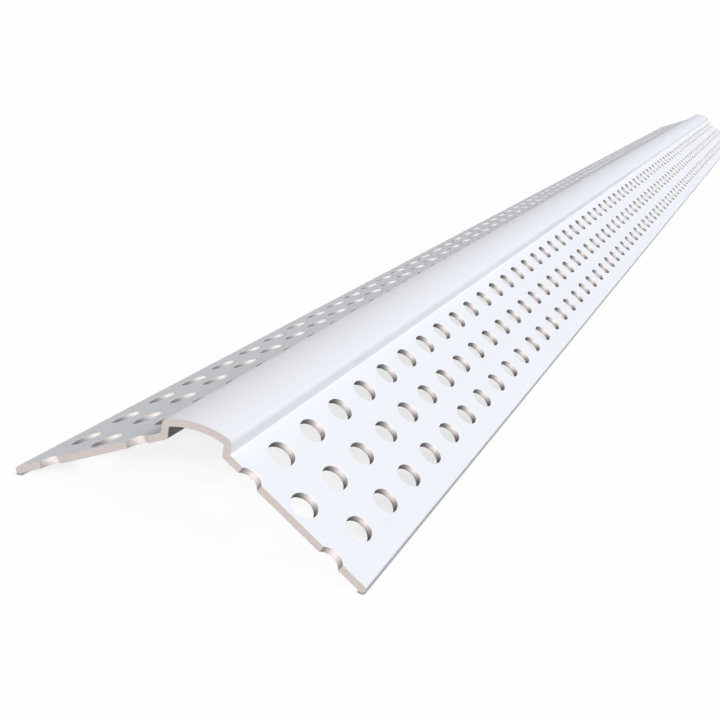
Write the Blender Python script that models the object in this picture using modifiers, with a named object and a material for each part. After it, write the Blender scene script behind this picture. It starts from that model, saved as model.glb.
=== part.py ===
"""Bullnose drywall corner bead: one extruded length of rigid white PVC.

The bead lies on the floor like a low tent, with its length along X and its rounded nose up.
The nose is an arc that stands a little proud of two thin flanges, so that joint compound
fills flush against it. Each flange has three rows of nail holes, ovals that are longer along
the bead, and the middle row is staggered by half a pitch.
Metres, +Z up, with the origin on the floor below the middle.
The section is worked out for the +Y half, and the other half mirrors it.
"""

import math

import bmesh
import bpy
from mathutils import Euler, Matrix, Vector

# Length and perforation, which repeats along X
HOLE_PITCH = 0.0127
PITCHES_LONG = 72
LENGTH = PITCHES_LONG * HOLE_PITCH
HOLE_LENGTH = 0.0066
HOLE_WIDTH = 0.0046
HOLE_SIDES = 6
# The saw cuts through a hole of the first and third rows, this far from its middle.
SAWN_HOLE_OUTSIDE = 0.0018

# Section, seen along X
FLANGE_ANGLE = math.radians(122)
WALL = 0.0012
NOSE_RADIUS = 0.016
NOSE_WIDTH = 0.0116
# The riser at each side of the nose, which joint compound fills
NOSE_STEP = 0.0022
FLANGE_WIDTH = 0.028
SHOULDER_ROUNDING = 0.0005
ROOT_ROUNDING = 0.0003
NOSE_ARC_SIDES = 12
CORNER_SIDES = 3

# Hole rows: the first from the foot of the nose, the last from the flange's free edge
FIRST_ROW = 0.0046
EDGE_MARGIN = 0.0068
ROWS = 3

# Derived sizes
FALL = (math.pi - FLANGE_ANGLE) / 2
NOSE_HALF = NOSE_WIDTH / 2
FOOT_ALONG = NOSE_HALF / math.cos(FALL)
EDGE_ALONG = FOOT_ALONG + FLANGE_WIDTH
ROW_SPACING = (FLANGE_WIDTH - FIRST_ROW - EDGE_MARGIN) / (ROWS - 1)
# The flanges' outer faces would meet at this height, and the free edges lie on the floor.
MEETING_HEIGHT = EDGE_ALONG * math.sin(FALL) + WALL * math.cos(FALL)
FOOT_HEIGHT = MEETING_HEIGHT - FOOT_ALONG * math.sin(FALL)
SHOULDER_HEIGHT = FOOT_HEIGHT + NOSE_STEP
ARC_CENTRE_HEIGHT = SHOULDER_HEIGHT - math.sqrt(NOSE_RADIUS**2 - NOSE_HALF**2)

BEAD_WHITE = (0.86, 0.87, 0.885, 1.0)


def clear_scene():
    for obj in list(bpy.data.objects):
        bpy.data.objects.remove(obj, do_unlink=True)


def new_collection(name):
    made = bpy.data.collections.new(name)
    bpy.context.scene.collection.children.link(made)
    return made


def pvc():
    """Smooth unplasticised PVC, slightly glossy."""
    made = bpy.data.materials.new("white_pvc")
    made.use_nodes = True
    shader = made.node_tree.nodes["Principled BSDF"]
    shader.inputs["Base Color"].default_value = BEAD_WHITE
    shader.inputs["Roughness"].default_value = 0.38
    shader.inputs["Metallic"].default_value = 0.0
    made.diffuse_color = BEAD_WHITE
    return made


def arc(radius, half_angle, centre_height, sides):
    """Points of an arc about the vertical axis, from its +Y end over the top to its -Y end."""
    angles = [half_angle - 2 * half_angle * i / sides for i in range(sides + 1)]
    return [
        Vector((radius * math.sin(a), centre_height + radius * math.cos(a)))
        for a in angles
    ]


def on_flange(along, depth):
    """A point of the +Y flange: so far down it from the line where the flanges meet, so deep
    below its outer face."""
    down = Vector((math.cos(FALL), -math.sin(FALL)))
    out = Vector((math.sin(FALL), math.cos(FALL)))
    return Vector((0.0, MEETING_HEIGHT)) + down * along - out * depth


def mirrored(point):
    return Vector((-point.x, point.y))


def rounded(before, corner, after, radius):
    """The corner replaced by a small arc that touches both of its sides."""
    to_before = (before - corner).normalized()
    to_after = (after - corner).normalized()
    half = to_before.angle(to_after) / 2
    middle = corner + (to_before + to_after).normalized() * (radius / math.sin(half))
    first = corner + to_before * (radius / math.tan(half)) - middle
    last = corner + to_after * (radius / math.tan(half)) - middle
    turn = first.angle_signed(last)
    return [
        middle + Matrix.Rotation(-turn * i / CORNER_SIDES, 2) @ first
        for i in range(CORNER_SIDES + 1)
    ]


def half_outline(depth):
    """The +Y half of the outer face (depth 0) or of the inner face (depth WALL), from the
    flange's edge up to the end of the arc, and the arc itself over to its other end."""
    side = NOSE_HALF - depth
    radius = NOSE_RADIUS - depth
    half_angle = math.asin(side / radius)
    bow = arc(radius, half_angle, ARC_CENTRE_HEIGHT, NOSE_ARC_SIDES)
    shoulder = bow[0]
    foot_drop = side * math.tan(FALL) + depth / math.cos(FALL)
    foot = Vector((side, MEETING_HEIGHT - foot_drop))
    edge = on_flange(EDGE_ALONG, depth)
    points = [edge]
    points += rounded(edge, foot, shoulder, ROOT_ROUNDING)
    points += rounded(foot, shoulder, bow[1], SHOULDER_ROUNDING)
    return points, bow[1:-1]


def section():
    """The closed section: over the outer face from +Y to -Y, and back along the inner one."""
    outer, outer_bow = half_outline(0.0)
    inner, inner_bow = half_outline(WALL)
    over = outer + outer_bow + [mirrored(p) for p in reversed(outer)]
    under = inner + inner_bow + [mirrored(p) for p in reversed(inner)]
    return over + list(reversed(under))


def extruded_section(collection):
    """The section as a filled flat curve, drawn out to both sides along X, made a mesh."""
    flat = bpy.data.curves.new("bead_section", "CURVE")
    flat.dimensions = "2D"
    flat.fill_mode = "BOTH"
    flat.extrude = LENGTH / 2
    outline = section()
    spline = flat.splines.new("POLY")
    spline.points.add(len(outline) - 1)
    for point, place in zip(spline.points, outline):
        point.co = (place.x, place.y, 0.0, 1.0)
    spline.use_cyclic_u = True
    drawn = bpy.data.objects.new("bead_section", flat)
    # The section's own x and y become Y and Z, and its depth becomes X.
    drawn.rotation_euler = Euler((math.pi / 2, 0.0, math.pi / 2))
    collection.objects.link(drawn)
    bpy.context.view_layer.update()

    graph = bpy.context.evaluated_depsgraph_get()
    mesh = bpy.data.meshes.new_from_object(drawn.evaluated_get(graph))
    place = drawn.matrix_world.copy()
    bpy.data.objects.remove(drawn, do_unlink=True)
    welded = bmesh.new()
    welded.from_mesh(mesh)
    bmesh.ops.remove_doubles(welded, verts=welded.verts, dist=1e-6)
    bmesh.ops.recalc_face_normals(welded, faces=welded.faces)
    welded.to_mesh(mesh)
    welded.free()
    mesh.name = "corner_bead"
    bead = bpy.data.objects.new("corner_bead", mesh)
    bead.matrix_world = place
    collection.objects.link(bead)
    return bead


def hole_row_cutter(name, along, first_x, count, collection):
    """A row of many-sided pins through the +Y flange, square to it, mirrored to the other one.
    Each pin is stretched along the bead and has the same area as the oval hole."""
    turn = 2 * math.pi / HOLE_SIDES
    corner_radius = HOLE_WIDTH / 2 * math.sqrt(turn / math.sin(turn))
    pin = bmesh.new()
    bmesh.ops.create_cone(
        pin,
        cap_ends=True,
        segments=HOLE_SIDES,
        radius1=corner_radius,
        radius2=corner_radius,
        depth=6 * WALL,
    )
    # The pin's axis leans from upright by as much as the flange falls.
    middle = on_flange(along, WALL / 2)
    lean = Matrix.Rotation(-FALL, 4, "X")
    stretch = Matrix.Diagonal((HOLE_LENGTH / HOLE_WIDTH, 1.0, 1.0, 1.0))
    bmesh.ops.transform(
        pin,
        matrix=Matrix.Translation((first_x, middle.x, middle.y)) @ lean @ stretch,
        verts=pin.verts,
    )
    mesh = bpy.data.meshes.new(name)
    pin.to_mesh(mesh)
    pin.free()
    cutter = bpy.data.objects.new(name, mesh)
    cutter.hide_render = True
    cutter.display_type = "WIRE"
    collection.objects.link(cutter)

    row = cutter.modifiers.new("row", "ARRAY")
    row.use_relative_offset = False
    row.use_constant_offset = True
    row.constant_offset_displace = (HOLE_PITCH, 0.0, 0.0)
    row.count = count
    other_flange = cutter.modifiers.new("other_flange", "MIRROR")
    other_flange.use_axis = (False, True, False)
    other_flange.use_mirror_merge = False
    return cutter


def perforate(bead, collection):
    for row in range(ROWS):
        staggered = row % 2 == 1
        along = FOOT_ALONG + FIRST_ROW + row * ROW_SPACING
        first_x = -LENGTH / 2 - SAWN_HOLE_OUTSIDE
        count = PITCHES_LONG + 1
        if staggered:
            first_x += HOLE_PITCH / 2
            count -= 1
        name = f"nail_hole_row_{row + 1}"
        cutter = hole_row_cutter(name, along, first_x, count, collection)
        cut = bead.modifiers.new(name, "BOOLEAN")
        cut.operation = "DIFFERENCE"
        cut.solver = "EXACT"
        cut.object = cutter


def main():
    clear_scene()
    parts = new_collection("drywall_corner_bead")
    cutters = new_collection("cutters")
    bead = extruded_section(parts)
    bead.data.materials.clear()
    bead.data.materials.append(pvc())
    perforate(bead, cutters)


main()
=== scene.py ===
# %% [markdown]
# # A bullnose corner bead of white vinyl
# A corner bead covers the edge where two wall boards meet. It is pushed out of a die as one
# endless strip, punched with rows of nail holes while it is still a little warm, and sawn to
# length. The imported part is loaded first. It gives the place of everything.

# %% Load the imported part
import math

import bmesh
import bpy
import numpy as np
from mathutils import Matrix, Vector


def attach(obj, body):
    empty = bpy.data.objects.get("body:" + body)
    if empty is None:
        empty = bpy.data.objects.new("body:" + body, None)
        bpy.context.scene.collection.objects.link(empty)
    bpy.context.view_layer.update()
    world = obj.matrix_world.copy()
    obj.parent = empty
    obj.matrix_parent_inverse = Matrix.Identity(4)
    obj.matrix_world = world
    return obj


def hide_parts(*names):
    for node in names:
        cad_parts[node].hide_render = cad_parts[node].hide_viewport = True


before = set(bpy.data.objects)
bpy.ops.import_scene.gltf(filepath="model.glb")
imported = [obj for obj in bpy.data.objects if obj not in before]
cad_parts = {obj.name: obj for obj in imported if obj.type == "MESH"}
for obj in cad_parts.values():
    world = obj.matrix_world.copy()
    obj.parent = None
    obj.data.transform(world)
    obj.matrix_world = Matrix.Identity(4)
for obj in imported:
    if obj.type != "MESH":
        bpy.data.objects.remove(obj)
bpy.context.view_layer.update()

# %% [markdown]
# ## The bead's sizes
# The looks follow the same sizes as the solid: 72 hole pitches of 12.7 mm, a wall of 1.2 mm and
# a nose that stands 2.2 mm proud of two flanges. What the solid leaves out is added here: holes
# that are truly oval, rims that the punch has drawn in a little, and free edges that left the die
# slightly rounded. The nose's outer shoulders are rounded by 1 mm, twice as much as in the solid,
# because they catch the light as a soft band and not as a sharp line.

# %% Sizes in metres, and the angle in degrees
HOLE_PITCH = 0.0127
PITCHES_LONG = 72
LENGTH = PITCHES_LONG * HOLE_PITCH
HOLE_LENGTH = 0.0066
HOLE_WIDTH = 0.0046
# The saw cuts through a hole of the first and third rows, this far from its middle.
SAWN_HOLE_OUTSIDE = 0.0018
FLANGE_ANGLE = 122
WALL = 0.0012
NOSE_RADIUS = 0.016
NOSE_HALF = 0.0058
NOSE_STEP = 0.0022
FLANGE_WIDTH = 0.028
FIRST_ROW = 0.0046
EDGE_MARGIN = 0.0068
ROOT_ROUNDING = 0.0003
SHOULDER_OUTSIDE = 0.0010
SHOULDER_INSIDE = 0.0005
PUNCHED_RIM = 0.00012
BROKEN_RIM = 0.00007
EDGE_ROUNDING = 0.0005

FALL = math.radians((180 - FLANGE_ANGLE) / 2)
COS, SIN = math.cos(FALL), math.sin(FALL)
FOOT_ALONG = NOSE_HALF / COS
EDGE_ALONG = FOOT_ALONG + FLANGE_WIDTH
ROW_SPACING = (FLANGE_WIDTH - FIRST_ROW - EDGE_MARGIN) / 2
ROWS_ALONG = [FOOT_ALONG + FIRST_ROW + row * ROW_SPACING for row in range(3)]
MEETING_HEIGHT = EDGE_ALONG * SIN + WALL * COS
SHOULDER_HEIGHT = MEETING_HEIGHT - NOSE_HALF * math.tan(FALL) + NOSE_STEP
ARC_CENTRE = SHOULDER_HEIGHT - math.sqrt(NOSE_RADIUS**2 - NOSE_HALF**2)
print("rows of holes lie", [round(1000 * a, 2) for a in ROWS_ALONG], "mm down each flange")

# %% [markdown]
# ## Where the surface is cut up
# Every hole sits in a rectangular cell of the flange. Cells of neighbouring rows are shifted by
# half a pitch, so their shared edges are divided into eighths of a pitch: then the points of both
# rows fall together and the whole strip can be welded into one closed skin. The saw passes so
# near a row of holes that the first of these lines would lie outside the bead, so it is moved in
# between its neighbours. The smooth nose needs far fewer points, one line per pitch.

# %% Lines across the bead, and limits down the flange
EIGHTHS = 8
CELLS_BELOW_FOOT = 0.00076
FIRST_X = -LENGTH / 2 - SAWN_HOLE_OUTSIDE
fine_x = FIRST_X + np.arange(1, EIGHTHS * PITCHES_LONG + 1) * HOLE_PITCH / EIGHTHS
fine_x = np.concatenate([[-LENGTH / 2], fine_x, [LENGTH / 2]])
fine_x[1] = (fine_x[0] + fine_x[2]) / 2
LAST = len(fine_x) - 1
coarse_x = np.append(fine_x[:LAST:EIGHTHS], fine_x[LAST])
CELLS_START = FOOT_ALONG + CELLS_BELOW_FOOT
ROW_LIMITS = [CELLS_START] + [along + ROW_SPACING / 2 for along in ROWS_ALONG]
print(len(fine_x), "lines in the punched flanges and", len(coarse_x), "over the nose")

# %% [markdown]
# ## Patches of skin
# Each part of the surface is a grid of points with the direction in which the surface faces
# there. Writing that direction down, instead of letting Blender average it from the faces, keeps
# the flat flanges flat up to the very rim of a hole, with only a few faces in each rim.


# %% A bag for patches
class Skin:
    """Patches of surface that wait to be welded: points, facings, faces and which faces are cut."""

    def __init__(self):
        self.points = []
        self.facing = []
        self.faces = {3: [], 4: []}
        self.cut = {3: [], 4: []}
        self.count = 0

    def add(self, points, facing, faces, cut=0.0):
        """Take in one patch. A face runs round its corners so that it faces as its corners do:
        where the cross product of its diagonals points the other way, its corners are reversed."""
        points = points.reshape(-1, 3)
        facing = facing.reshape(-1, 3)
        sides = faces.shape[1]
        corner = [points[faces[:, i]] for i in range(sides)]
        across = np.cross(corner[2] - corner[0], corner[-1] - corner[1])
        wanted = facing[faces].sum(axis=1)
        backward = (across * wanted).sum(axis=1) < 0
        faces = np.where(backward[:, None], faces[:, ::-1], faces)
        self.points.append(points)
        self.facing.append(facing)
        self.faces[sides].append(faces + self.count)
        self.cut[sides].append(np.broadcast_to(cut, len(faces)))
        self.count += len(points)


def grid_faces(rows, columns, copies=1):
    """Quads of a grid of rows by columns points, for several such grids that follow one another:
    each quad joins a point, the next one in its row, and the two below them."""
    index = np.arange(copies * rows * columns).reshape(copies, rows, columns)
    quads = [index[:, :-1, :-1], index[:, :-1, 1:], index[:, 1:, 1:], index[:, 1:, :-1]]
    return np.stack(quads, axis=-1).reshape(-1, 4)


skin = Skin()

# %% [markdown]
# ## From a flat flange to its place
# It is easiest to draw on a flange as if it lay flat: so far along X, so far down from the line
# where both flanges would meet, and so deep below the outer face. One function then tilts it by
# its fall of 29 degrees. The same function places the left flange (side = 1) and the right one
# (side = -1).


# %% Tilt a flange
def tilt_points(x, along, depth, side):
    """Y is along times the cosine of the fall less depth times its sine, mirrored for the other
    side. Z is the meeting height less along times the sine and less depth times the cosine."""
    x, along, depth = np.broadcast_arrays(x, along, depth)
    y = side * (along * COS - depth * SIN)
    z = MEETING_HEIGHT - along * SIN - depth * COS
    return np.stack([x, y, z], axis=-1)


def tilt_facing(x, down, out, side):
    """The same turn for a direction, given by its shares along X, down the flange and out of it."""
    x, down, out = np.broadcast_arrays(x, down, out)
    return np.stack([x, side * (down * COS + out * SIN), out * COS - down * SIN], axis=-1)


# %% [markdown]
# ## Punched holes
# A punch pushes through from outside. It draws the rim in a little, shears a clean wall and
# breaks out at the back with a smaller rim. Seen as a grid, one direction goes round the hole and
# the other leads from the cell's edge over the rim, down the wall and out to the cell's edge on
# the back: eight rings in all. The holes are ovals, 6.6 mm along the bead and 4.6 mm across. Each
# ring is an oval too, a little longer and wider than the hole by the same amount.

# %% The eight rings of a hole
DIAGONAL = math.sqrt(0.5)
# At the middle of a rounding, this share of its radius is still to go.
HALFWAY = 1 - DIAGONAL
ring_grows = np.array(
    [PUNCHED_RIM, PUNCHED_RIM * HALFWAY, 0, 0, BROKEN_RIM * HALFWAY, BROKEN_RIM]
)
ring_long = HOLE_LENGTH / 2 + ring_grows[:, None]
ring_wide = HOLE_WIDTH / 2 + ring_grows[:, None]
ring_depth = np.array(
    [0, PUNCHED_RIM * HALFWAY, PUNCHED_RIM, WALL - BROKEN_RIM, WALL - BROKEN_RIM * HALFWAY, WALL]
)
# How far each ring faces away from the hole's axis, and out of the flange
ring_away = np.array([0, 0, -DIAGONAL, -1, -1, -DIAGONAL, 0, 0])
ring_out = np.array([1, 1, DIAGONAL, 0, 0, -DIAGONAL, -1, -1])
# Of the seven bands between the rings, those that the punch made
band_cut = np.array([0.0, 0.0, 1.0, 1.0, 1.0, 0.0, 0.0])
RINGS = len(ring_away)
print("a hole has", RINGS, "rings, and its wall is", int(band_cut.sum()), "bands")

# %% [markdown]
# ## Round a cell
# A whole cell is walked round in 24 steps: down its last line, back along its lower limit, up its
# first line and forward along its upper limit. The saw has cut through one hole of the first and
# third rows at each end. There the walk is open: it starts and stops on the sawn face, and so do
# the arcs that are left of the rings.

# %% Steps round a cell, as eighths from its last line and as shares of its width
SIDE_STEPS = 4
NEAR_LINES, FAR_LINES = 4, 5
FIRST_ANGLE, ANGLE_STEP = -30, 15

down_side = np.arange(1, SIDE_STEPS + 1) / SIDE_STEPS
up_side = 1 - down_side
whole_line = np.concatenate(
    [
        np.zeros(1 + SIDE_STEPS),
        -np.arange(1, EIGHTHS + 1),
        np.full(SIDE_STEPS, -EIGHTHS),
        np.arange(1 - EIGHTHS, 1),
    ]
).astype(int)
whole_share = np.concatenate([[0], down_side, np.ones(EIGHTHS), up_side, np.zeros(EIGHTHS)])
near_line = np.concatenate(
    [np.arange(-NEAR_LINES, 1), np.zeros(SIDE_STEPS), -np.arange(1, NEAR_LINES + 1)]
).astype(int)
near_share = np.concatenate([np.zeros(1 + NEAR_LINES), down_side, np.ones(NEAR_LINES)])
far_line = np.concatenate(
    [-np.arange(1 + FAR_LINES), np.full(SIDE_STEPS, -FAR_LINES), np.arange(1 - FAR_LINES, 1)]
).astype(int)
far_share = np.concatenate([np.ones(1 + FAR_LINES), up_side, np.zeros(FAR_LINES)])

whole_angles = np.radians(FIRST_ANGLE + ANGLE_STEP * np.arange(len(whole_line)))
whole_angles = whole_angles + np.zeros((len(ring_grows), 1))


# %% One row of holes, whole or sawn
def add_holes(centres, centre_along, last_lines, limits, line_steps, shares, angles):
    """Holes of one row on both flanges. A ring's point is its centre plus the ring's half length
    times the cosine of its angle along X, and plus its half width times the sine down the flange.
    It faces away by half width times cosine and half length times sine, made one long. The first
    and last rings are the cell's edge."""
    edge_x = fine_x[last_lines[:, None] + line_steps]
    edge_along = limits[0] + (limits[1] - limits[0]) * shares + 0 * edge_x
    oval_x = centres[:, None, None] + ring_long * np.cos(angles)
    oval_along = centre_along + ring_wide * np.sin(angles) + 0 * oval_x
    x = np.concatenate([edge_x[:, None], oval_x, edge_x[:, None]], axis=1)
    along = np.concatenate([edge_along[:, None], oval_along, edge_along[:, None]], axis=1)
    depth = np.concatenate([[0], ring_depth, [WALL]])[:, None]
    away = np.stack([ring_wide * np.cos(angles), ring_long * np.sin(angles)])
    away = away / np.hypot(*away)
    away = np.concatenate([away[:, :1], away, away[:, -1:]], axis=1)
    away_x, away_along = ring_away[:, None] * away
    faces = grid_faces(RINGS, len(line_steps), len(centres))
    cut = np.tile(np.repeat(band_cut, len(line_steps) - 1), len(centres))
    for side in (1, -1):
        facing = tilt_facing(away_x, away_along, ring_out[:, None], side) + 0 * x[..., None]
        skin.add(tilt_points(x, along, depth, side), facing, faces, cut)


def sawn_angles(steps, towards_end):
    """Angles of the part of each ring that the saw leaves: it stops where the half length times
    the cosine is the distance from the hole's centre to the sawn face."""
    reach = np.arccos(SAWN_HOLE_OUTSIDE / ring_long)
    share = np.linspace(0, 1, steps)
    if towards_end:
        return reach + (2 * math.pi - 2 * reach) * share
    return -reach + 2 * reach * share


# %% All rows, and the narrow strips that they leave
for row, centre_along in enumerate(ROWS_ALONG):
    limits = ROW_LIMITS[row : row + 2]
    staggered = row == 1
    pitches = np.arange(PITCHES_LONG) + 0.5 if staggered else np.arange(1, PITCHES_LONG)
    centres = FIRST_X + pitches * HOLE_PITCH
    last_lines = (EIGHTHS * pitches + EIGHTHS // 2).astype(int)
    add_holes(centres, centre_along, last_lines, limits, whole_line, whole_share, whole_angles)
    if staggered:
        # A narrow strip is left between the last whole cell and the sawn end.
        strip_along = np.linspace(*limits, 1 + SIDE_STEPS)
        for side in (1, -1):
            for depth, out in ((0, 1), (WALL, -1)):
                points = tilt_points(fine_x[LAST - 1 :, None], strip_along, depth, side)
                facing = tilt_facing(0, 0, out, side) + 0 * points
                skin.add(points, facing, grid_faces(2, 1 + SIDE_STEPS))
    else:
        for centre, last_line, lines, shares, towards_end in (
            (FIRST_X, NEAR_LINES, near_line, near_share, False),
            (FIRST_X + LENGTH, LAST, far_line, far_share, True),
        ):
            centre, last_line = np.array([centre]), np.array([last_line])
            angles = sawn_angles(len(lines), towards_end)
            add_holes(centre, centre_along, last_line, limits, lines, shares, angles)
print("the punched cells hold", skin.count, "points")

# %% [markdown]
# ## From fine lines to coarse ones
# The strips beside the cells lead from the eighths of a pitch to the whole pitches of the nose
# and the edges. A zip of triangles does it: each short step takes the nearest point of the other
# line as its tip, and each long step takes the point at which the tips change.


# %% Zip two lines together
def zip_faces(fine, coarse):
    """Triangles between two rows of points. The points of the fine line come first in the patch:
    a tip is the coarse point whose half-way marks enclose the middle of the short step."""
    tip = np.searchsorted((coarse[1:] + coarse[:-1]) / 2, (fine[1:] + fine[:-1]) / 2)
    short = [np.arange(len(fine) - 1), np.arange(1, len(fine)), len(fine) + tip]
    change = np.searchsorted(tip, np.arange(len(coarse) - 1), side="right")
    start = len(fine) + np.arange(len(coarse) - 1)
    return np.concatenate([np.stack(short, axis=-1), np.stack([start, change, start + 1], axis=-1)])


def add_zip(fine_along, coarse_along, depth, out):
    """A flat strip of both flanges, between its fine line and its coarse line."""
    x = np.concatenate([fine_x, coarse_x])
    along = np.repeat([fine_along, coarse_along], [len(fine_x), len(coarse_x)])
    for side in (1, -1):
        points = tilt_points(x, along, depth, side)
        skin.add(points, tilt_facing(0, 0, out, side) + 0 * points, zip_faces(fine_x, coarse_x))


# %% [markdown]
# ## The section, carried along the bead
# The nose, its risers and the roots of the flanges are one profile that keeps its shape from end
# to end. Corners that the die rounds are small arcs that touch both neighbours, so the facing
# turns smoothly. The inner profile is worked out by the same function, one wall deeper.

# %% Points of the arcs
ROOT_POINTS = 5
SHOULDER_POINTS = 8
NOSE_POINTS = 13
EDGE_POINTS = 4


# %% Half of the profile over the nose
def half_profile(depth, shoulder_radius):
    """Y, Z and facing from the root of the left flange up to the crown. A root arc's points are
    its centre less its radius times the facing, because it is hollow. The shoulder's and the
    nose's points are their centres plus their radius times the facing."""
    riser = NOSE_HALF - depth
    root_along = (riser + ROOT_ROUNDING + (depth - ROOT_ROUNDING) * SIN) / COS
    root = tilt_points(0, root_along, depth - ROOT_ROUNDING, 1)[1:]
    turn = np.linspace(math.pi / 2 - FALL, 0, ROOT_POINTS)
    root_facing = np.stack([np.cos(turn), np.sin(turn)], axis=-1)

    side = riser - shoulder_radius
    reach = NOSE_RADIUS - depth - shoulder_radius
    lean = math.asin(side / reach)
    shoulder = np.array([side, ARC_CENTRE + reach * math.cos(lean)])
    turn = np.linspace(0, math.pi / 2 - lean, SHOULDER_POINTS)
    shoulder_facing = np.stack([np.cos(turn), np.sin(turn)], axis=-1)

    turn = np.linspace(lean, 0, NOSE_POINTS)[1:]
    nose_facing = np.stack([np.sin(turn), np.cos(turn)], axis=-1)
    places = np.concatenate(
        [
            root - ROOT_ROUNDING * root_facing,
            shoulder + shoulder_radius * shoulder_facing,
            [0, ARC_CENTRE] + (NOSE_RADIUS - depth) * nose_facing,
        ]
    )
    return places, np.concatenate([root_facing, shoulder_facing, nose_facing])


def carry(places, facing):
    """A profile of Y and Z, carried along X: the grid repeats it at each coarse line."""
    shape = (len(coarse_x), len(places), 3)
    points = np.zeros(shape)
    points[..., 0] = coarse_x[:, None]
    points[..., 1:] = places
    directions = np.zeros(shape)
    directions[..., 1:] = facing
    skin.add(points, directions, grid_faces(shape[0], shape[1]))


# %% The nose, outside and inside
for depth, out, shoulder_radius in ((0, 1, SHOULDER_OUTSIDE), (WALL, -1, SHOULDER_INSIDE)):
    places, facing = half_profile(depth, shoulder_radius)
    other = [-1, 1]
    carry(
        np.concatenate([places, (places * other)[-2::-1]]),
        out * np.concatenate([facing, (facing * other)[-2::-1]]),
    )
    root_end = places[0]
    root_end_along = (root_end[0] + depth * SIN) / COS
    add_zip(CELLS_START, root_end_along, depth, out)
    add_zip(ROW_LIMITS[-1], EDGE_ALONG - EDGE_ROUNDING, depth, out)
    crown = round(1000 * places[-1, 1], 3)
    print("profile at depth", round(1000 * depth, 2), "mm reaches", crown, "mm high")

# %% [markdown]
# ## Free edges
# The flanges end in a narrow edge face. The die leaves its two corners very slightly round, which
# catches the light as a thin line along the bead.

# %% The edge of each flange
turn = np.linspace(0, math.pi / 2, EDGE_POINTS)
edge_down = np.concatenate([np.sin(turn), np.sin(turn)[::-1]])
edge_out = np.concatenate([np.cos(turn), -np.cos(turn)[::-1]])
edge_along = EDGE_ALONG - EDGE_ROUNDING + EDGE_ROUNDING * edge_down
edge_depth = np.repeat([EDGE_ROUNDING, WALL - EDGE_ROUNDING], EDGE_POINTS)
edge_depth = edge_depth - EDGE_ROUNDING * edge_out
for side in (1, -1):
    places = tilt_points(0, edge_along, edge_depth, side)[:, 1:]
    carry(places, tilt_facing(0, edge_down, edge_out, side)[:, 1:])
print("the whole skin holds", skin.count, "points before it is welded")

# %% [markdown]
# ## Weld, saw and close
# Points that fall together become one, which turns the patches into one skin that is open only at
# the two sawn ends. Filling those openings is what the saw does: flat faces with the wall's
# section in them.

# %% Weld the patches
WELD_STEPS_PER_METRE = 1e7


def weld(skin):
    """Points that agree to a ten-thousandth of a millimetre share one vertex: they are rounded
    to whole steps, and equal ones get one number. The faces keep their order."""
    points = np.concatenate(skin.points)
    steps = np.round(points * WELD_STEPS_PER_METRE).astype(np.int64)
    kept, new_index = np.unique(steps, axis=0, return_inverse=True)
    new_index = new_index.reshape(-1)
    first = np.zeros(len(kept), dtype=int)
    first[new_index[::-1]] = np.arange(len(points))[::-1]
    facing = np.concatenate(skin.facing)
    corners = [np.concatenate(skin.faces[sides]) for sides in (4, 3)]
    faces = [row for block in corners for row in new_index[block].tolist()]
    corner_facing = np.concatenate([facing[block].reshape(-1, 3) for block in corners])
    cut = np.concatenate([np.concatenate(skin.cut[sides]) for sides in (4, 3)])
    return points[first], faces, corner_facing, cut


points, faces, corner_facing, cut = weld(skin)
mesh = bpy.data.meshes.new("bead_skin")
mesh.from_pydata(points.tolist(), [], faces)
skin_corners = len(mesh.loops)
print(len(points), "points are left after welding")

# %% Saw both ends
shell = bmesh.new()
shell.from_mesh(mesh)
open_edges = [edge for edge in shell.edges if edge.is_boundary]
closing = bmesh.ops.holes_fill(shell, edges=open_edges, sides=0)["faces"]
for face in closing:
    face.normal_update()
    if face.normal.x * face.calc_center_median().x < 0:
        face.normal_flip()
print(len(open_edges), "open edges closed by", len(closing), "sawn faces")
print(sum(not edge.is_manifold for edge in shell.edges), "edges left that aren't closed")
shell.to_mesh(mesh)
shell.free()

# %% [markdown]
# ## Facings and cut faces
# The facings that were worked out go to the corners of the faces. A number on each face, "cut",
# says whether the die made it (0) or the punch or the saw did (1). A second one, "sawn", is 1
# only where the saw did. The material reads both.

# %% Write both into the mesh
mesh.polygons.foreach_set("use_smooth", np.ones(len(mesh.polygons), dtype=bool))
all_facing = np.zeros((len(mesh.loops), 3))
all_facing[:skin_corners] = corner_facing
ends = np.zeros(len(mesh.loops) - skin_corners)
for polygon in mesh.polygons[len(faces) :]:
    start = polygon.loop_start - skin_corners
    ends[start : start + polygon.loop_total] = polygon.normal.x
all_facing[skin_corners:, 0] = ends
mesh.normals_split_custom_set(all_facing.tolist())
all_cut = np.ones(len(mesh.polygons))
all_cut[: len(cut)] = cut
all_sawn = np.zeros(len(mesh.polygons))
all_sawn[len(cut) :] = 1.0
mesh.attributes.new("cut", "FLOAT", "FACE").data.foreach_set("value", all_cut)
mesh.attributes.new("sawn", "FLOAT", "FACE").data.foreach_set("value", all_sawn)

# %% The dressed bead takes the solid's place
bead = bpy.data.objects.new("punched_bead", mesh)
bpy.context.scene.collection.objects.link(bead)
triangles = sum(len(polygon.vertices) - 2 for polygon in mesh.polygons)
print("the bead has", triangles, "triangles, and", int(all_cut.sum()), "of its faces are cut")

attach(bead, "root")
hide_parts("corner_bead")

# %% [markdown]
# ## A small language for materials
# Shader maths reads better as a sum than as a list of nodes. A Wire is a number on its way
# through the nodes: adding, subtracting or multiplying wires adds the Math node that does it. Any
# other node comes from Recipe.node, which takes the type, its settings and what goes into its
# sockets.


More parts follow.
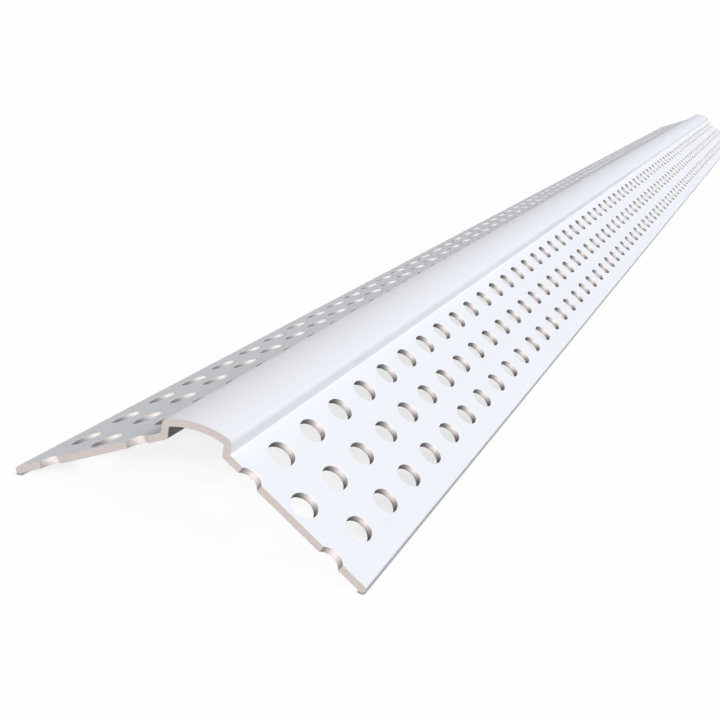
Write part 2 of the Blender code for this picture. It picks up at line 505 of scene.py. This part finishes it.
# %% Wires and recipes
class Wire:
    """A number in a material. + - * with another wire or a plain number add a Math node."""

    def __init__(self, recipe, socket):
        self.recipe = recipe
        self.socket = socket

    def combined(self, operation, first, second):
        """The first number and the second, put through one Math node."""
        made = self.recipe.node("ShaderNodeMath", {"operation": operation}, {0: first, 1: second})
        return Wire(self.recipe, made.outputs[0])

    def __add__(self, other):
        return self.combined("ADD", self, other)

    def __sub__(self, other):
        return self.combined("SUBTRACT", self, other)

    def __rsub__(self, other):
        return self.combined("SUBTRACT", other, self)

    def __mul__(self, other):
        return self.combined("MULTIPLY", self, other)

    __radd__ = __add__
    __rmul__ = __mul__


class Recipe:
    """The nodes of one material or of the world, starting from an empty tree."""

    def __init__(self, owner):
        owner.use_nodes = True
        self.tree = owner.node_tree
        self.tree.nodes.clear()

    def node(self, kind, settings=None, inputs=None):
        """One node: its settings first, then each input socket, by name or number, as a value or
        a link."""
        made = self.tree.nodes.new(kind)
        for name, value in (settings or {}).items():
            setattr(made, name, value)
        for name, value in (inputs or {}).items():
            if isinstance(value, Wire):
                value = value.socket
            if isinstance(value, bpy.types.NodeSocket):
                self.tree.links.new(value, made.inputs[name])
            else:
                made.inputs[name].default_value = value
        return made

    def attribute(self, name):
        """A number that is written on the mesh, as a wire."""
        made = self.node("ShaderNodeAttribute", {"attribute_name": name})
        return Wire(self, made.outputs["Fac"])

    def stretched(self, scales):
        """The object's own coordinates, each multiplied by its scale, so a pattern can run long
        in one direction."""
        place = self.node("ShaderNodeTexCoord").outputs["Object"]
        made = self.node("ShaderNodeVectorMath", {"operation": "MULTIPLY"}, {0: place, 1: scales})
        return made.outputs[0]

    def noise(self, scales, detail=2.0, rough=0.5):
        """Smooth noise about 0, as a wire: the texture's value less a half."""
        made = self.node(
            "ShaderNodeTexNoise",
            {"noise_dimensions": "3D"},
            {
                "Vector": self.stretched(scales),
                "Scale": 1.0,
                "Detail": detail,
                "Roughness": rough,
            },
        )
        return Wire(self, made.outputs[0]) - 0.5

    def mix_colour(self, factor, first, second):
        """The first colour where the factor is 0 and the second one where it is 1."""
        made = self.node("ShaderNodeMix", {"data_type": "RGBA"}, {0: factor, 6: first, 7: second})
        return made.outputs[2]

    def mix_shader(self, factor, first, second):
        """The same for two shaders."""
        made = self.node("ShaderNodeMixShader", None, {0: factor, 1: first, 2: second})
        return made.outputs[0]


def grey(level):
    """A colour without a tint, equally strong in red, green and blue."""
    return (level, level, level, 1.0)


# %% [markdown]
# ## White vinyl
# Rigid vinyl leaves the die smooth, with a soft sheen and very fine lines along the bead. Its
# white leans a little to blue, because makers brighten it, and it varies by a per cent or so from
# place to place. Where the punch and the saw went through, the inside of the wall shows: a
# duller, warmer white with a grain.
#
# The wall of a punched hole has painted shade: its colour is grey along the hole's long sides
# and white at its two narrow ends. The lamps give only a part of that shading, so the colour
# paints the rest: it goes from the painted grey shade to white with the square of the facing's X,
# which is 0 at the sides and 1 at the ends. The saw leaves the wall rough and a little grey all
# over, so it has a pair of colours of its own.
#
# The lines are noise that is stretched along X, and the grain is finer noise that isn't
# stretched. Noise lies about 0, so each mix is a middle value plus a share of each noise.

# %% The bead's colours and patterns
SKIN_WHITE = (0.875, 0.888, 0.915, 1.0)
SKIN_SHADE = (0.845, 0.860, 0.890, 1.0)
PUNCHED_WARM = (0.77, 0.765, 0.76, 1.0)
PUNCHED_PALE = (0.87, 0.87, 0.87, 1.0)
# Painted shade: the grey of a hole's wall along the hole's long sides
PUNCHED_SIDE_PAINTED_SHADE = (0.23, 0.226, 0.224, 1.0)
SAWN_WARM = (0.53, 0.515, 0.505, 1.0)
SAWN_PALE = (0.60, 0.59, 0.58, 1.0)

# Waves per metre along X, Y and Z
DIE_LINE_SCALES = (1.5, 1100.0, 1100.0)
CLOUD_SCALES = (14.0, 90.0, 90.0)
GRAIN_SCALES = (2600.0, 2600.0, 2600.0)

# Relief in metres
DIE_LINE_HEIGHT = 0.000004
CLOUD_HEIGHT = 0.00001
GRAIN_HEIGHT = 0.00003

SKIN_ROUGHNESS = 0.50
CUT_ROUGHNESS = 0.65
SPECULAR_LEVEL = 0.2

# %% The bead's material
vinyl = bpy.data.materials.new("white_vinyl")
recipe = Recipe(vinyl)
is_cut = recipe.attribute("cut")
is_sawn = recipe.attribute("sawn")
is_skin = 1 - is_cut
facing = recipe.node("ShaderNodeTexCoord").outputs["Normal"]
facing_x = Wire(recipe, recipe.node("ShaderNodeSeparateXYZ", None, {0: facing}).outputs["X"])

die_lines = recipe.noise(DIE_LINE_SCALES, detail=3.0, rough=0.6)
clouds = recipe.noise(CLOUD_SCALES, detail=3.0)
grain = recipe.noise(GRAIN_SCALES)

shade = 0.35 + clouds * 1.2 + die_lines * 0.5
skin_colour = recipe.mix_colour(shade, SKIN_WHITE, SKIN_SHADE)
mottle = 0.5 + grain * 1.6 + clouds
end_colour = recipe.mix_colour(mottle, PUNCHED_WARM, PUNCHED_PALE)
# Painted shade: grey on the hole's long sides, the wall's own colour at its narrow ends
punched_colour_painted_shade = recipe.mix_colour(facing_x * facing_x, PUNCHED_SIDE_PAINTED_SHADE, end_colour)
sawn_colour = recipe.mix_colour(mottle, SAWN_WARM, SAWN_PALE)
cut_colour = recipe.mix_colour(is_sawn, punched_colour_painted_shade, sawn_colour)
colour = recipe.mix_colour(is_cut, skin_colour, cut_colour)

skin_roughness = SKIN_ROUGHNESS + die_lines * 0.08 + clouds * 0.10
cut_roughness = CUT_ROUGHNESS + grain * 0.25
roughness = is_skin * skin_roughness + is_cut * cut_roughness
skin_height = die_lines * DIE_LINE_HEIGHT + clouds * CLOUD_HEIGHT
height = is_skin * skin_height + is_cut * (grain * GRAIN_HEIGHT)
bump = recipe.node("ShaderNodeBump", None, {"Strength": 1.0, "Distance": 1.0, "Height": height})
shader = recipe.node(
    "ShaderNodeBsdfPrincipled",
    None,
    {
        "Base Color": colour,
        "Roughness": roughness,
        "Normal": bump.outputs[0],
        "Specular IOR Level": SPECULAR_LEVEL,
    },
)
recipe.node("ShaderNodeOutputMaterial", None, {"Surface": shader.outputs[0]})
bead.data.materials.append(vinyl)
print("white vinyl uses", len(vinyl.node_tree.nodes), "nodes")

# %% [markdown]
# ## A pale studio
# The bead lies on a pale floor without an edge. The camera sees the floor as white, with the
# bead's soft shadow on it: a plain glow makes up most of that white, and a thin diffuse share on
# top of it takes the lamps' shadow.
#
# The glow also dims where the bead covers the floor, which is a painted shadow. Openness tells how
# much a place is free of cover towards the near end, where the bead is open under its flanges, so
# the floor seen through the holes gets a painted light-grey shadow. Clearance does the same within
# half a millimetre, which paints a dark contact line where the bead touches. Each is the share of
# free rays times a gain less an offset, so that a range of shares in the middle spans all of the
# change.
#
# Light that the floor sends to the bead comes from a dark grey, so the hollow under the nose
# stays dark.

# %% The floor's numbers
FLOOR_REACH = 60.0
FLOOR_HEIGHT = -0.00002
FLOOR_DIFFUSE = 0.03
FLOOR_BOUNCE = 0.05
GLOW_OPEN = 0.965
# Painted shadow: the floor's glow where the bead covers it, and where the bead touches it
GLOW_PAINTED_COVER_SHADOW = 0.72
GLOW_PAINTED_CONTACT_SHADOW = 0.30

# 20 degrees above the floor, as X, Y and Z
TO_NEAR_END = (-0.94, 0.0, 0.342)
COVER_REACH = 0.09
COVER_SAMPLES = 16
COVER_GAIN, COVER_OFFSET = 6.0, 2.4
TOUCH_REACH = 0.0005
TOUCH_SAMPLES = 8
TOUCH_GAIN, TOUCH_OFFSET = 2.5, 1.5

# %% The floor
floor_mesh = bpy.data.meshes.new("studio_floor")
corners = [(x, y, FLOOR_HEIGHT) for x, y in ((-1, -1), (1, -1), (1, 1), (-1, 1))]
floor_mesh.from_pydata(corners, [], [(0, 1, 2, 3)])
floor_mesh.transform(Matrix.Diagonal((FLOOR_REACH, FLOOR_REACH, 1.0, 1.0)))
floor = bpy.data.objects.new("studio_floor", floor_mesh)
bpy.context.scene.collection.objects.link(floor)
print("the floor reaches", FLOOR_REACH, "m to each side")


# %% The floor's material
def seen_directly(recipe):
    """1 for rays from the camera, a reflection or a clear material, and 0 for other light."""
    path = recipe.node("ShaderNodeLightPath")
    kinds = ("Is Camera Ray", "Is Glossy Ray", "Is Transmission Ray")
    camera_ray, glossy_ray, clear_ray = [Wire(recipe, path.outputs[kind]) for kind in kinds]
    return camera_ray + glossy_ray + clear_ray


def free_share(recipe, samples, inputs):
    """The share of rays that meet nothing within a distance, as a wire."""
    made = recipe.node("ShaderNodeAmbientOcclusion", {"samples": samples}, inputs)
    return Wire(recipe, made.outputs["AO"])


def glow(recipe, strength):
    """White light of its own, this strong."""
    return recipe.node("ShaderNodeEmission", None, {"Strength": strength}).outputs[0]


def diffuse(recipe, level):
    """A matt grey of this level."""
    return recipe.node("ShaderNodeBsdfDiffuse", None, {"Color": grey(level)}).outputs[0]


paint = bpy.data.materials.new("pale_floor")
recipe = Recipe(paint)
to_near_end = recipe.node("ShaderNodeCombineXYZ", None, dict(enumerate(TO_NEAR_END))).outputs[0]
covered_by = {"Distance": COVER_REACH, "Normal": to_near_end}
openness = free_share(recipe, COVER_SAMPLES, covered_by) * COVER_GAIN - COVER_OFFSET
touched_by = {"Distance": TOUCH_REACH}
clearance = free_share(recipe, TOUCH_SAMPLES, touched_by) * TOUCH_GAIN - TOUCH_OFFSET
# Painted shadow: the glow dims under cover and along the line where the bead touches
away = recipe.mix_shader(openness, glow(recipe, GLOW_PAINTED_COVER_SHADOW), glow(recipe, GLOW_OPEN))
lit = recipe.mix_shader(clearance, glow(recipe, GLOW_PAINTED_CONTACT_SHADOW), away)
shown = recipe.node("ShaderNodeAddShader", None, {0: diffuse(recipe, FLOOR_DIFFUSE), 1: lit})
bounce = diffuse(recipe, FLOOR_BOUNCE)
surface = recipe.mix_shader(seen_directly(recipe), bounce, shown.outputs[0])
recipe.node("ShaderNodeOutputMaterial", None, {"Surface": surface})
floor_mesh.materials.append(paint)
print("the floor's material uses", len(paint.node_tree.nodes), "nodes")

# %% [markdown]
# ## Backdrop
# Beyond the floor the camera sees the same white. Shiny surfaces mirror a paler studio than the
# one that lights the bead from all round, which is dim, so that the lamps shape the bead.

# %% The world
WHITE = grey(0.982)
AMBIENT = (0.057, 0.060, 0.067, 1.0)
SHEEN = (0.60, 0.64, 0.72, 1.0)

world = bpy.data.worlds.new("studio")
bpy.context.scene.world = world
recipe = Recipe(world)
path = recipe.node("ShaderNodeLightPath")
sky = recipe.node("ShaderNodeBackground", None, {"Color": AMBIENT}).outputs[0]
for ray, colour in (("Is Glossy Ray", SHEEN), ("Is Camera Ray", WHITE)):
    shown = recipe.node("ShaderNodeBackground", None, {"Color": colour}).outputs[0]
    sky = recipe.mix_shader(path.outputs[ray], sky, shown)
recipe.node("ShaderNodeOutputWorld", None, {"Surface": sky})
print("the backdrop uses", len(world.node_tree.nodes), "nodes")

# %% [markdown]
# ## Light
# Large soft lamps stand far away, so the bead is lit evenly from end to end. The cool key is high
# up on the right: the right flange faces it, the nose turns a little away and the left flange
# more. The warm lamp is low, beyond the near end: it lights what faces that way, which is the
# sawn end and the far wall of each hole. It stands just high enough to reach down the whole wall
# of a hole, which is 1.2 mm deep and 6.6 mm long. A weak fill behind the far end keeps the sides
# that face away from both from going dark.

# %% The lamps
COOL_LIGHT = (0.94, 0.97, 1.0)
WARM_LIGHT = (1.0, 0.90, 0.86)
PLAIN_LIGHT = (1.0, 1.0, 1.0)
LAMP_DISTANCE = 3
# Name, direction from the bead, strength, colour, and how wide the lamp looks in degrees
LAMPS = (
    ("cool_key", (0.0, -0.663, 0.749), 2.70, COOL_LIGHT, 25),
    ("warm_end_lamp", (-0.9816, 0.0, 0.1908), 3.3, WARM_LIGHT, 14),
    ("far_fill", (0.75, 0.5, 0.43), 0.15, PLAIN_LIGHT, 40),
)
for name, towards, strength, colour, spread in LAMPS:
    lamp_data = bpy.data.lights.new(name, "SUN")
    lamp_data.energy = strength
    lamp_data.color = colour
    lamp_data.angle = math.radians(spread)
    lamp = bpy.data.objects.new(name, lamp_data)
    lamp.rotation_euler = Vector(towards).to_track_quat("Z", "Y").to_euler()
    lamp.location = Vector(towards) * LAMP_DISTANCE
    bpy.context.scene.collection.objects.link(lamp)
    print(name, "has a strength of", strength)

# %% [markdown]
# ## Camera
# The camera looks along the bead from just before its near end, low over the floor. Its place and
# lens were worked out from where the corners of the section and the holes appear, so it is given
# by numbers.

# %% The photograph's view
CAMERA_PLACE = Vector((-0.60731, -0.06841, 0.08547))
LOOKS_ALONG = Vector((0.909758, 0.276865, -0.309332))
IMAGE_RIGHT = Vector((0.341408, -0.922894, 0.178066))
LENS_MM = 59.767
SENSOR_MM = 36.0
NEAREST, FARTHEST = 0.005, 500.0

camera_data = bpy.data.cameras.new("camera")
camera_data.lens = LENS_MM
camera_data.sensor_width = SENSOR_MM
camera_data.clip_start = NEAREST
camera_data.clip_end = FARTHEST
camera = bpy.data.objects.new("camera", camera_data)
backward = -LOOKS_ALONG.normalized()
upward = backward.cross(IMAGE_RIGHT).normalized()
sideways = upward.cross(backward)
turned = Matrix((sideways, upward, backward)).transposed().to_4x4()
camera.matrix_world = Matrix.Translation(CAMERA_PLACE) @ turned
bpy.context.scene.collection.objects.link(camera)
bpy.context.scene.camera = camera
bpy.context.scene.view_settings.view_transform = "Standard"
print("the camera stands", round(1000 * CAMERA_PLACE.z), "mm above the floor")
